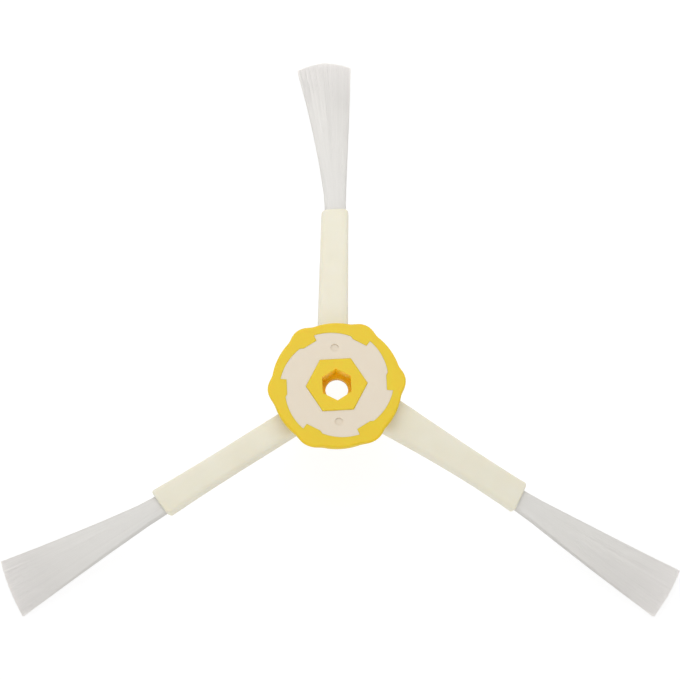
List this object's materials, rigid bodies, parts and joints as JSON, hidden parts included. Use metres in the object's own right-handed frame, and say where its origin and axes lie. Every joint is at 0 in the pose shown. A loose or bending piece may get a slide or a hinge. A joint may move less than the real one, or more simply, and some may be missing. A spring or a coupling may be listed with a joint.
{
  "type": "robot vacuum side brush",
  "caption": "Side brush for a robot vacuum: lugged yellow hub with a hexagonal drive socket and screw hole, a keyed disc, soft sloping arms and flared filament tufts.",
  "frame": {"origin": "on the hub axis, in the top face of the hexagonal boss, where the drive shaft enters", "axes": "+Z along the hub axis towards the robot, +Y along the first arm, to about a degree"},
  "size_m": [0.153, 0.1344, 0.0209],
  "materials": {
    "hub_plastic": "satin yellow moulding",
    "disc_plastic": "satin off-white moulding",
    "arm_elastomer": "matt cream elastomer",
    "filament": "translucent white filaments"
  },
  "bodies": {
    "root": {"hub": "hub_plastic", "retaining_disc": "disc_plastic", "arm_1": "arm_elastomer", "arm_2": "arm_elastomer", "arm_3": "arm_elastomer", "tuft_1": "filament", "tuft_2": "filament", "tuft_3": "filament"}
  },
  "joints": []
}
